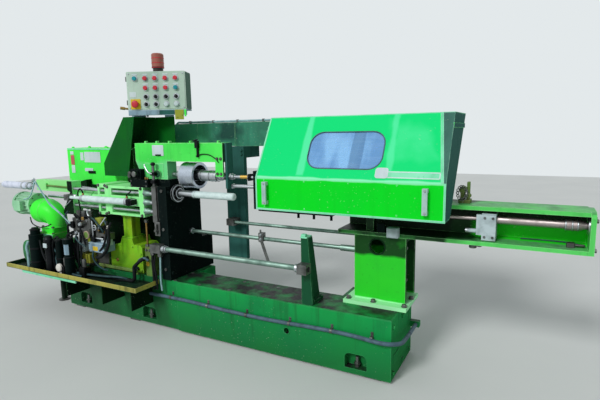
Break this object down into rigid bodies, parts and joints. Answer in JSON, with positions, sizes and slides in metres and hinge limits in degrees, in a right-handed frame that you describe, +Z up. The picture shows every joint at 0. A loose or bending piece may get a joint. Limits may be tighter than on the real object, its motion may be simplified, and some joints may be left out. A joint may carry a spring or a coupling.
{
  "type": "extrusion press",
  "caption": "Horizontal hydraulic press on a long bed, with a ram head, an overhead spindle arm, a hinged hood over a feed beam, guide rods and a side pump set.",
  "frame": {"origin": "on the floor under the middle of the bed, on the underside of the middle shim", "axes": "+X along the machine towards the feed beam, +Y to its back, +Z up"},
  "size_m": [4.927, 0.95, 2.217],
  "materials": {
    "bright_steel": "hard chrome, lightly soiled",
    "clear_window": "scratched clear sheet",
    "cream_paint": "aged cream enamel",
    "dark_paint": "oily dark enamel",
    "grey_handle": "dull cast handle",
    "hose_rubber": "dusty dark rubber",
    "machine_green": "worn gloss enamel with oil and grime",
    "orange_lens": "faded lens",
    "pale_sleeve": "pale smooth sleeve",
    "red_buttons": "push buttons",
    "worn_steel": "greasy bare steel",
    "yellow_paint": "dirty yellow enamel"
  },
  "bodies": {
    "machine": {"accumulator": "worn_steel", "beacon": "orange_lens", "bed": "machine_green", "column": "machine_green", "control_box": "cream_paint", "control_buttons": "red_buttons", "control_shelf": "dark_paint", "cover_posts": "dark_paint", "crosshead": "machine_green", "cylinder_housing": "machine_green", "drip_tray": "yellow_paint", "end_block": "machine_green", "feed_bar": "bright_steel", "feed_beam": "machine_green", "floor_shims": "worn_steel", "front_pillar": "worn_steel", "gear_housing": "machine_green", "guide_rods": "worn_steel", "gusset_post": "machine_green", "head_guard": "machine_green", "head_upright": "dark_paint", "hinge_pins": "worn_steel", "hydraulic_pumps": "dark_paint", "junction_box": "worn_steel", "oil_tank": "machine_green", "pilot_valve": "dark_paint", "platen": "dark_paint", "press_cylinder": "machine_green", "pump_housing": "machine_green", "pump_motor": "machine_green", "ram_gland": "bright_steel", "rear_cover": "machine_green", "return_pipe": "worn_steel", "rod_clamps": "worn_steel", "side_cylinder": "bright_steel", "spindle_hanger": "dark_paint", "supply_hose": "hose_rubber", "tail_bracket": "dark_paint", "tail_rods": "bright_steel", "tie_plate": "worn_steel", "tie_rods": "bright_steel", "upper_arm": "machine_green", "valve_stand": "worn_steel"},
    "hood": {"hood_shell": "machine_green", "hood_window": "clear_window", "hood_handles": "grey_handle", "hood_knuckles": "worn_steel"},
    "ram": {"ram_shank": "bright_steel", "ram_sleeve": "pale_sleeve"},
    "spindle": {"spindle_drum": "bright_steel", "spindle_shaft": "bright_steel"},
    "feed": {"feed_block": "worn_steel"}
  },
  "joints": [
    {"name": "hood_lift", "type": "hinge", "parent": "machine", "child": "hood", "pos_m": [1.193, 0.404, 1.652], "axis": [-1, 0, 0], "range_deg": [0, 60]},
    {"name": "ram_slide", "type": "slide", "parent": "machine", "child": "ram", "axis": [1, 0, 0], "range_m": [0, 0.17]},
    {"name": "spindle_spin", "type": "hinge", "parent": "machine", "child": "spindle", "pos_m": [0, -0.13, 1.24], "axis": [1, 0, 0], "continuous": true},
    {"name": "feed_slide", "type": "slide", "parent": "machine", "child": "feed", "axis": [1, 0, 0], "range_m": [0, 0.34]}
  ]
}
